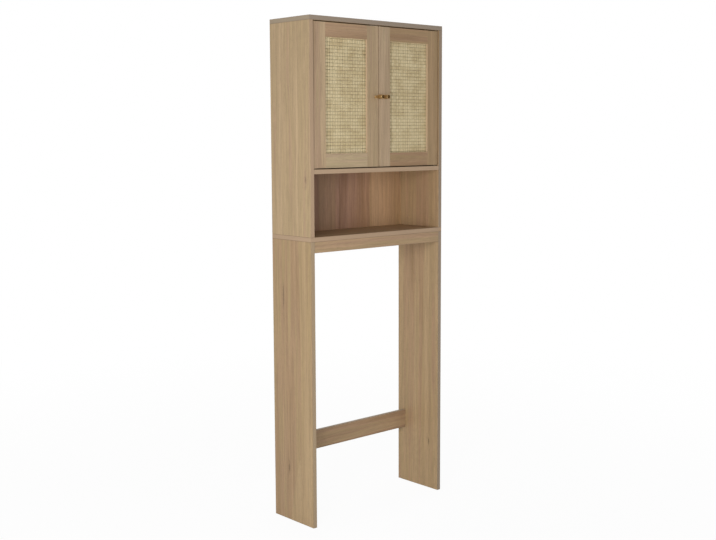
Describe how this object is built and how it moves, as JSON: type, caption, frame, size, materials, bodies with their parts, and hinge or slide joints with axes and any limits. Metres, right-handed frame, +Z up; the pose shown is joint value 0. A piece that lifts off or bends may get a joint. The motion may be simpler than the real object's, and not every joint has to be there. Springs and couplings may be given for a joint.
{
  "type": "over-toilet storage unit",
  "caption": "Tall narrow oak-look bathroom unit on two leg panels that span a toilet, with an open niche under a cupboard with framed cane doors and brass knobs.",
  "frame": {"origin": "on the floor, at the bottom centre of the whole object's box, knobs included", "axes": "+Z up, +Y towards the wall, the doors face -Y, +X to the right seen from the front"},
  "size_m": [0.65, 0.254, 1.8],
  "materials": {
    "oak": "matt light oak veneer",
    "back_board": "matt oak print",
    "cane": "natural woven cane",
    "brass": "brushed",
    "steel": "zinc plated",
    "plastic": "moulded",
    "beech": "bare"
  },
  "bodies": {
    "cabinet": {"adjustable_shelf": "oak", "back_panel": "back_board", "cam_bolts": "steel", "cam_locks": "steel", "catch_magnets": "steel", "deck_board": "oak", "dowels": "beech", "fixed_shelf": "oak", "front_rail": "oak", "left_leg_panel": "oak", "left_side_panel": "oak", "left_wall_bracket": "steel", "magnetic_catch": "plastic", "pivot_bushes": "plastic", "rear_stretcher": "oak", "right_leg_panel": "oak", "right_side_panel": "oak", "right_wall_bracket": "steel", "shelf_pins": "steel", "top_board": "oak"},
    "left_door": {"left_hinge_stile": "oak", "left_meeting_stile": "oak", "left_top_rail": "oak", "left_bottom_rail": "oak", "left_cane_panel": "cane", "left_cane_beads": "oak", "left_pivot_pins": "steel", "left_knob": "brass", "left_knob_screw": "steel", "left_strike_plate": "steel"},
    "right_door": {"right_hinge_stile": "oak", "right_meeting_stile": "oak", "right_top_rail": "oak", "right_bottom_rail": "oak", "right_cane_panel": "cane", "right_cane_beads": "oak", "right_pivot_pins": "steel", "right_knob": "brass", "right_knob_screw": "steel", "right_strike_plate": "steel"}
  },
  "joints": [
    {"name": "left_door_hinge", "type": "hinge", "parent": "cabinet", "child": "left_door", "pos_m": [-0.298, -0.082, 1.53], "axis": [0, 0, -1], "range_deg": [0, 100]},
    {"name": "right_door_hinge", "type": "hinge", "parent": "cabinet", "child": "right_door", "pos_m": [0.298, -0.082, 1.53], "axis": [0, 0, 1], "range_deg": [0, 100]}
  ]
}
